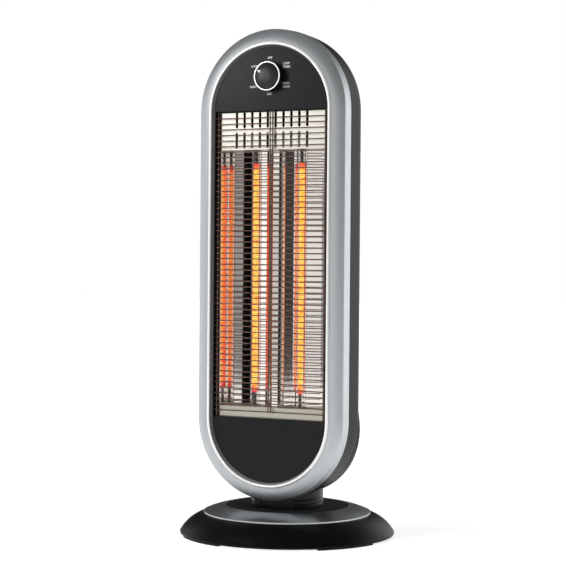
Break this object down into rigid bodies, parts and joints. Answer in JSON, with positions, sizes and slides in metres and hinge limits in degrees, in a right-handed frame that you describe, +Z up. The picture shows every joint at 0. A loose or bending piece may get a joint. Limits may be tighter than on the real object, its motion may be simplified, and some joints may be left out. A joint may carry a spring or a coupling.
{
  "type": "carbon heater",
  "caption": "Upright electric carbon heater: racetrack-shaped head with wire guard, quartz tubes in a folded reflector and a round dial, swinging on a weighted round base.",
  "frame": {"origin": "centre of the round base, on the floor, on the axis the head swings about", "axes": "+Z up, the heating face looks along -Y, +X to the right seen from the front"},
  "size_m": [0.3212, 0.3212, 0.7506],
  "materials": {
    "black_moulding": "moulded ABS, satin",
    "black_texture": "spark-textured ABS",
    "black_panel": "satin black heat-resistant plastic",
    "silver_paint": "silver-grey sprayed paint",
    "bright_trim": "bright plating",
    "zinc_steel": "zinc-plated pressed steel",
    "cast_iron": "raw casting",
    "rubber": "matt",
    "steel_screw": "zinc-plated",
    "white_plastic": "natural acetal",
    "guard_wire": "plated steel wire",
    "cream_sheet": "aluminised sheet",
    "polished_sheet": "polished stainless sheet",
    "quartz": "clear fused quartz",
    "carbon": "woven carbon, glowing",
    "ceramic": "unglazed steatite",
    "lead_cover": "glass-braid sleeving",
    "knob_gloss": "gloss black",
    "pointer_white": "printed white"
  },
  "bodies": {
    "base": {"base_cover": "black_moulding", "base_trim_ring": "silver_paint", "base_inset_disc": "black_texture", "bottom_plate": "zinc_steel", "ballast_ring": "cast_iron", "foot_pads": "rubber", "base_screws": "steel_screw", "cord_gland": "rubber", "pivot_bush": "white_plastic", "lower_race": "zinc_steel", "oscillation_motor": "zinc_steel", "motor_screws": "steel_screw", "tip_switch": "black_moulding", "tip_spring": "steel_screw"},
    "pinion": {"motor_pinion": "white_plastic", "motor_shaft": "steel_screw"},
    "cage": {"ball_cage": "white_plastic", "bearing_balls": "steel_screw"},
    "plunger": {"tip_plunger": "white_plastic"},
    "knob": {"control_knob": "knob_gloss", "knob_pointer": "pointer_white", "knob_ring": "bright_trim", "switch_shaft": "white_plastic"},
    "head": {"upper_race": "zinc_steel", "hub_gear": "white_plastic", "neck_front": "black_moulding", "neck_rear": "black_moulding", "turntable_plate": "zinc_steel", "neck_screws": "steel_screw", "pivot_post": "zinc_steel", "post_nut": "zinc_steel", "post_clamps": "zinc_steel", "front_bezel": "silver_paint", "bezel_trim_ring": "bright_trim", "front_panel": "black_panel", "trim_screws": "steel_screw", "rear_housing": "black_moulding", "housing_screws": "steel_screw", "wire_guard": "guard_wire", "upper_deflector": "cream_sheet", "lower_deflector": "cream_sheet", "reflector": "polished_sheet", "heat_shield": "zinc_steel", "shield_screws": "steel_screw", "quartz_tube_left": "quartz", "quartz_tube_right": "quartz", "carbon_filament_left": "carbon", "carbon_filament_right": "carbon", "ceramic_caps": "ceramic", "tube_brackets": "zinc_steel", "thermal_cutout": "ceramic", "terminal_block": "white_plastic", "lead_wires": "lead_cover", "rotary_switch": "black_moulding", "switch_nut": "steel_screw"}
  },
  "joints": [
    {"name": "head_swing", "type": "hinge", "parent": "base", "child": "head", "pos_m": [0, 0, 0.047], "axis": [0, 0, 1], "range_deg": [-35, 35]},
    {"name": "pinion_spin", "type": "hinge", "parent": "base", "child": "pinion", "pos_m": [0, 0.0435, 0.03], "axis": [0, 0, 1], "range_deg": [-78, 78]},
    {"name": "cage_roll", "type": "hinge", "parent": "base", "child": "cage", "pos_m": [0, 0, 0.047], "axis": [0, 0, 1], "range_deg": [-18, 18]},
    {"name": "knob_turn", "type": "hinge", "parent": "head", "child": "knob", "pos_m": [0, -0.072, 0.6794], "axis": [0, -1, 0], "continuous": true},
    {"name": "plunger_slide", "type": "slide", "parent": "base", "child": "plunger", "axis": [0, 0, 1], "range_m": [-0.005, 0], "stiffness_N_per_m": 100, "springref_m": -0.008, "deforming": ["tip_spring"]}
  ],
  "couplings": [
    {"joint": "pinion_spin", "follows": "head_swing", "ratio": -2.2222},
    {"joint": "cage_roll", "follows": "head_swing", "ratio": 0.5}
  ]
}
